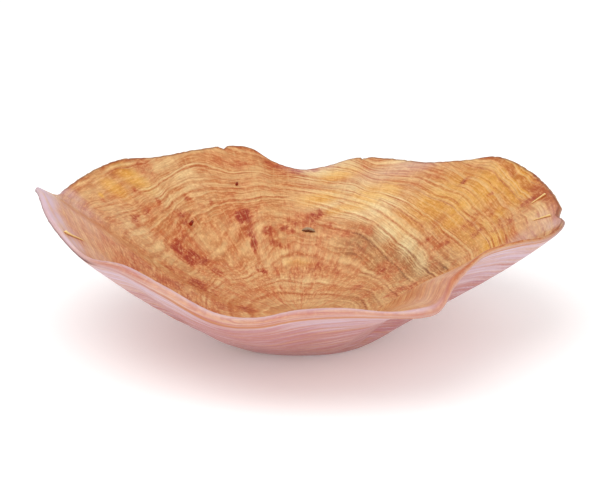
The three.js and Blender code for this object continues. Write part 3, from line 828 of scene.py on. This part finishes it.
def inner_wood(node, wood, finish, line, pale_band, drawn):
    """Colour of the wood inside the bowl."""
    # Clouds of paler wood, and bands and streaks that follow the growth
    light_wood = node("Mix", {0: wood.cream, 6: finish.pale, 7: finish.cream}, **OF_COLOURS)
    bands = node("TexNoise", {"W": drawn, "Scale": 0.07, "Detail": 2}, noise_dimensions="1D")
    cloud = node("Math", (wood.cream, 0.13, wood.cloud), "MULTIPLY_ADD")
    cloud = node("Math", (bands, 0.5, cloud), "MULTIPLY_ADD")
    cloud = node("MapRange", (cloud, 0.66, 1.0, 0, 1))
    brown = node("Math", (wood.gold, -0.15, wood.streak), "MULTIPLY_ADD")
    brown = node("MapRange", (brown, 0.45, 0.7, 0, 0.4))
    light_streak = node("Math", (wood.cream, -0.12, wood.streak), "MULTIPLY_ADD")
    light_streak = node("MapRange", (light_streak, 0.48, 0.3, 0, 0.5))

    # Red-brown clouds in blocks that follow growth and rays, and ragged stains in them
    blush = wood.block
    for zones, weight in ((wood.stain, 0.4), (wood.cream, -0.25), (wood.gold, -0.16)):
        blush = node("Math", (zones, weight, blush), "MULTIPLY_ADD")
    blush = node("MapRange", (blush, 0.42, 0.8, 0, 0.7), interpolation_type="SMOOTHSTEP")
    ragged = node("Math", (wood.torn, wood.block), "ADD")
    ragged = node("Math", (ragged, 1.6, -1.6), "MULTIPLY_ADD")
    ragged = node("Math", (ragged, wood.stain), "ADD")
    ragged = node("MapRange", (ragged, 0.3, 1.0, 0, 0.88), interpolation_type="SMOOTHSTEP")

    # Fibres lie along the growth lines, and ray flecks across them
    line_hue = node("Mix", {0: wood.olive, 6: finish.line, 7: finish.olive_line}, **OF_COLOURS)
    pale_fibre = node("MapRange", (wood.fibre, 0.5, 0.7, 0, 0.45))
    shade = node("MapRange", (wood.fibre, 0.3, 0.7, 0.8, 1.12))
    dark_fleck = node("MapRange", (wood.fleck, 0.54, 0.74, 0, 0.24))
    pale_fleck = node("MapRange", (wood.fleck, 0.44, 0.28, 0, 0.3))
    colour = layered(
        node, finish.honey, (cloud, 1, light_wood), (brown, wood.lively, finish.line),
        (light_streak, 1, light_wood), (wood.gold, 0.85, finish.gold), (wood.olive, 0.75, finish.olive),
        (pale_band, 1, light_wood), (wood.calm, 0.4, finish.peach), (blush, wood.bare, finish.blush),
        (ragged, wood.bare, finish.stain), (line, 1, line_hue), (pale_fibre, 1, light_wood))
    colour = node("VectorMath", {0: colour, "Scale": shade}, "SCALE")
    return layered(node, colour, (dark_fleck, wood.bare, finish.stain), (pale_fleck, 1, finish.pale))


def outer_wall(node, wood, finish, colour):
    """The colour with the outer wall over it: a painted milky sheen, the pale floor's reflection, over rose
    wood, rosier low down, with rusty and frosty streaks through it. Inside the bowl, the painted sheen
    zones get the same milky colour."""
    height = node("SeparateXYZ", (wood.place,), out="Z")
    deep = node("MapRange", (height, 0.075, 0.04, -0.1, 0.24))
    rosy = node("Math", (wood.mottle, deep), "ADD")
    rosy = node("MapRange", (rosy, 0.43, 0.64, 0, 1))
    # The veil is a painted reflection of the pale floor, milky, turning rose low down
    sheen_hue = node("Mix", {0: rosy, 6: finish.painted_sheen, 7: finish.rose}, **OF_COLOURS)
    thin = node("MapRange", (wood.thin, 0.4, 0.68, 0.92, 0.45))
    thin = node("Math", (wood.gold, -0.5, thin), "MULTIPLY_ADD")
    rusty = node("MapRange", (wood.outer_streak, 0.54, 0.72, 0, 0.62))
    frosty = node("MapRange", (wood.outer_streak, 0.46, 0.3, 0, 0.8))
    return layered(
        node, colour, (thin, wood.outside, sheen_hue), (rusty, wood.outside, finish.line),
        (frosty, wood.outside, finish.frost), (thin, wood.sheen_zone, finish.painted_sheen))


def edge_bands(node, wood, finish, colour):
    """The colour with bands along the edge. The far rim has dark lines along its edge, the near rim a
    golden-brown line on the outer corner and a painted milky highlight on the inner one, and the left-hand
    tip a painted milky highlight on its face with a dark outer corner."""
    sideways = node("SeparateXYZ", (wood.place,), out="X")
    depth = node("SeparateXYZ", (wood.place,), out="Y")
    near = node("MapRange", (depth, -0.01, -0.05, 0, 1))
    front = node("MapRange", (sideways, -0.105, -0.085, 0.1, 0.7))
    tip = node("MapRange", (sideways, -0.14, -0.152, 0, 1))
    tip_side = node("MapRange", (depth, 0.05, 0.035, 0, 1))
    tip = node("Math", (tip, tip_side), "MULTIPLY")
    right = node("MapRange", (sideways, 0.085, 0.105, 0, 1))
    rosy_face = node("Math", (right, -0.35, 0.35), "MULTIPLY_ADD")
    # The near rim's inner corner: a painted milky highlight, growth-line brown on the right
    inner_hue = node("Mix", {0: right, 6: finish.painted_sheen, 7: finish.line}, **OF_COLOURS)
    outer_reach = node("MapRange", (tip, 0, 1, 0.45, 1.1))
    inner_reach = node("MapRange", (near, 0, 1, 0.6, 1.0))
    dark = finish.edge_line
    # Where each band lies across the edge, how far it reaches, and its colour and share at the far rim, the
    # near rim and the left-hand tip. The milky bands are painted highlights.
    for corner, reach, far_band, near_band, tip_band in (
            (-1.0, outer_reach, (dark, 0.25), (finish.amber, front), (dark, 0.9)),
            (0.0, 1.0, (dark, 0.45), (finish.rose, rosy_face), (finish.painted_sheen, 0.4)),
            (1.0, inner_reach, (dark, 0.6), (inner_hue, 0.66), (finish.painted_sheen, 0.5))):
        away = node("Math", (wood.edge_place, corner), "SUBTRACT")
        away = node("Math", (away,), "ABSOLUTE")
        full = node("Math", (reach, 0.2), "MULTIPLY")
        band = node("MapRange", (away, reach, full, 0, 1))
        hue = node("Mix", {0: near, 6: far_band[0], 7: near_band[0]}, **OF_COLOURS)
        hue = node("Mix", {0: tip, 6: hue, 7: tip_band[0]}, **OF_COLOURS)
        amount = node("MapRange", (near, 0, 1, far_band[1], near_band[1]))
        amount = node("MapRange", (tip, 0, 1, amount, tip_band[1]))
        colour = layered(node, colour, (band, amount, hue))
    return colour


def let_in(name, colour, speck, speck_size, rim, rim_from):
    """Filler, or the end grain of a knot, sanded flush under the lacquer. The eye gets a plain body
    with fine specks, and a rim of another colour where lacquer has run into the joint."""
    material, tree, shader = new_material(name, LACQUER)
    node = partial(add, tree)
    place = node("TexCoord", out="Object")
    grain = node("TexNoise", {"Vector": place, "Scale": 1 / speck_size, "Detail": 3})
    specks = node("MapRange", (grain, 0.45, 0.75, 0, 0.7))
    from_middle = node("Attribute", out="Fac", attribute_name="from_middle")
    joint = node("Math", (grain, 0.4, from_middle), "MULTIPLY_ADD")
    joint = node("MapRange", (joint, rim_from + 0.1, 1.15, 0, 1))
    body = colour
    for share, hue in ((specks, speck), (joint, rim)):
        body = node("Mix", {0: share, 6: body, 7: hue}, **OF_COLOURS)
    rough = node("MapRange", (grain, 0.3, 0.7, 0.4, 0.55))
    bump = node("Bump", {"Height": grain, "Distance": 0.1 * MM, "Strength": 0.5}, out="Normal")
    for key, output in (("Base Color", body), ("Roughness", rough), ("Normal", bump)):
        tree.links.new(output, shader.inputs[key])
    return material


def opal_floor(colour, glow):
    """Opal acrylic, lit softly from below. The eye gets a pale floor with weak shadows."""
    material, tree, shader = new_material("floor_opal_acrylic", {
        "Base Color": opaque(colour), "Emission Color": opaque(colour), "Emission Strength": glow,
        "Specular IOR Level": 0.2})
    place = add(tree, "TexCoord", out="Object")
    uneven = add(tree, "TexNoise", {"Vector": place, "Scale": 3, "Detail": 2})
    rough = add(tree, "MapRange", (uneven, 0.3, 0.7, 0.85, 0.95))
    tree.links.new(rough, shader.inputs["Roughness"])
    return material


class ROOTBOWL_OT_bowl(bpy.types.Operator):
    """Build the carved bowl"""
    bl_idname = "rootbowl.bowl"
    bl_label = "Carved bowl"

    def execute(self, context):
        material = root_wood(context.scene.root_bowl_finish)
        new_piece("carved_bowl", bowl_mesh(context.scene.root_bowl_shape), material, "bowl")
        return {"FINISHED"}


class ROOTBOWL_OT_check_fillings(bpy.types.Operator):
    """Build the fillings of the drying checks"""
    bl_idname = "rootbowl.check_fillings"
    bl_label = "Check fillings"

    def execute(self, context):
        finish = context.scene.root_bowl_finish
        # Wood dust in glue: cream, with specks of pale wood and a thin honey rim
        material = let_in("wood_dust_filler_sanded", finish.filler, finish.pale, 0.4 * MM,
                          finish.honey, 0.85)
        for filling in CHECK_FILLINGS:
            mesh = filling_mesh(context.scene.root_bowl_shape, filling)
            name = filling.node.replace("fill_", "filling_")
            new_piece(name, mesh, material, filling.node)
        return {"FINISHED"}


class ROOTBOWL_OT_bark_pocket(bpy.types.Operator):
    """Build the filling of the bark pocket"""
    bl_idname = "rootbowl.bark_pocket"
    bl_label = "Bark pocket filling"

    def execute(self, context):
        finish = context.scene.root_bowl_finish
        # Filler over the remains of bark: brownish grey, with olive-brown specks and a dark rim
        material = let_in("grey_filler_sanded", finish.bark_filler, finish.olive, 0.7 * MM,
                          finish.edge_line, 0.66)
        mesh = filling_mesh(context.scene.root_bowl_shape, BARK_POCKET)
        new_piece("filling_bark_pocket", mesh, material, BARK_POCKET.node)
        return {"FINISHED"}


class ROOTBOWL_OT_pin_knots(bpy.types.Operator):
    """Build the pin knots"""
    bl_idname = "rootbowl.pin_knots"
    bl_label = "Pin knots"

    def execute(self, context):
        finish = context.scene.root_bowl_finish
        # End grain of a thin twig: dark red-brown, with darker specks and a redder rim
        material = let_in("pin_knot_end_grain", finish.knot, finish.edge_line, 0.5 * MM,
                          finish.stain, 0.6)
        for knot in PIN_KNOTS:
            mesh = knot_mesh(context.scene.root_bowl_shape, knot)
            new_piece(knot.node.replace("fill_", "pin_"), mesh, material, knot.node)
        return {"FINISHED"}


class ROOTBOWL_OT_stage(bpy.types.Operator):
    """Build the pale floor, the soft lights and the camera"""
    bl_idname = "rootbowl.stage"
    bl_label = "Stage"

    def execute(self, context):
        stage = context.scene.root_bowl_stage
        sheet = bmesh.new()
        bmesh.ops.create_grid(sheet, x_segments=1, y_segments=1, size=stage.floor_size / 2)
        mesh = bpy.data.meshes.new("studio_floor")
        sheet.to_mesh(mesh)
        sheet.free()
        mesh.materials.append(opal_floor(stage.floor_colour, stage.floor_glow))
        floor = bpy.data.objects.new("studio_floor", mesh)
        context.scene.collection.objects.link(floor)

        world = bpy.data.worlds.new("studio_light")
        context.scene.world = world
        world.use_nodes = True
        world.node_tree.nodes["Background"].inputs["Color"].default_value = (1, 1, 1, 1)
        world.node_tree.nodes["Background"].inputs["Strength"].default_value = stage.sky_strength
        for name, place, size, power in (
                ("key", Vector((-0.6, -0.5, 2.2)), 2.2, stage.key_power),
                ("fill", Vector((0.7, -1.9, 0.9)), 1.6, stage.fill_power)):
            lamp = bpy.data.lights.new(name, "AREA")
            lamp.shape = "DISK"
            lamp.size = size
            lamp.energy = power
            light = bpy.data.objects.new(name, lamp)
            light.location = place
            light.rotation_euler = (-place).to_track_quat("-Z", "Y").to_euler()
            context.scene.collection.objects.link(light)

        lens = bpy.data.cameras.new("camera")
        lens.lens = stage.focal_length
        camera = bpy.data.objects.new("camera", lens)
        rise = stage.camera_elevation
        camera.location = stage.camera_distance * Vector((0, -math.cos(rise), math.sin(rise)))
        raised = math.atan(stage.foot_below_middle * lens.sensor_width / stage.focal_length)
        camera.rotation_euler = (math.pi / 2 - rise + raised, 0, 0)
        context.scene.collection.objects.link(camera)
        context.scene.camera = camera
        context.scene.view_settings.view_transform = "Standard"
        return {"FINISHED"}


class ROOTBOWL_PT_panel(bpy.types.Panel):
    """Sizes, colours and pieces of the root-wood bowl"""
    bl_idname = "ROOTBOWL_PT_panel"
    bl_label = "Root-wood bowl"
    bl_space_type = "VIEW_3D"
    bl_region_type = "UI"
    bl_category = "Root bowl"

    def draw(self, context):
        for piece in PIECES:
            self.layout.operator(piece.bl_idname)
        for name, group in GROUPS.items():
            box = self.layout.box()
            for setting in group.__annotations__:
                box.prop(getattr(context.scene, name), setting)


PIECES = (ROOTBOWL_OT_bowl, ROOTBOWL_OT_check_fillings, ROOTBOWL_OT_bark_pocket, ROOTBOWL_OT_pin_knots,
          ROOTBOWL_OT_stage)
GROUPS = {"root_bowl_shape": RootBowlShape, "root_bowl_finish": RootBowlFinish,
          "root_bowl_stage": RootBowlStage}
CLASSES = (*GROUPS.values(), *PIECES, ROOTBOWL_PT_panel)


def register():
    for cls in CLASSES:
        bpy.utils.register_class(cls)
    for name, group in GROUPS.items():
        setattr(bpy.types.Scene, name, PointerProperty(type=group))


def unregister():
    for name in GROUPS:
        delattr(bpy.types.Scene, name)
    for cls in reversed(CLASSES):
        bpy.utils.unregister_class(cls)


def main():
    """Registers the classes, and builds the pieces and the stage."""
    register()
    bpy.ops.rootbowl.bowl()
    bpy.ops.rootbowl.check_fillings()
    bpy.ops.rootbowl.bark_pocket()
    bpy.ops.rootbowl.pin_knots()
    bpy.ops.rootbowl.stage()


if __name__ == "__main__":
    main()
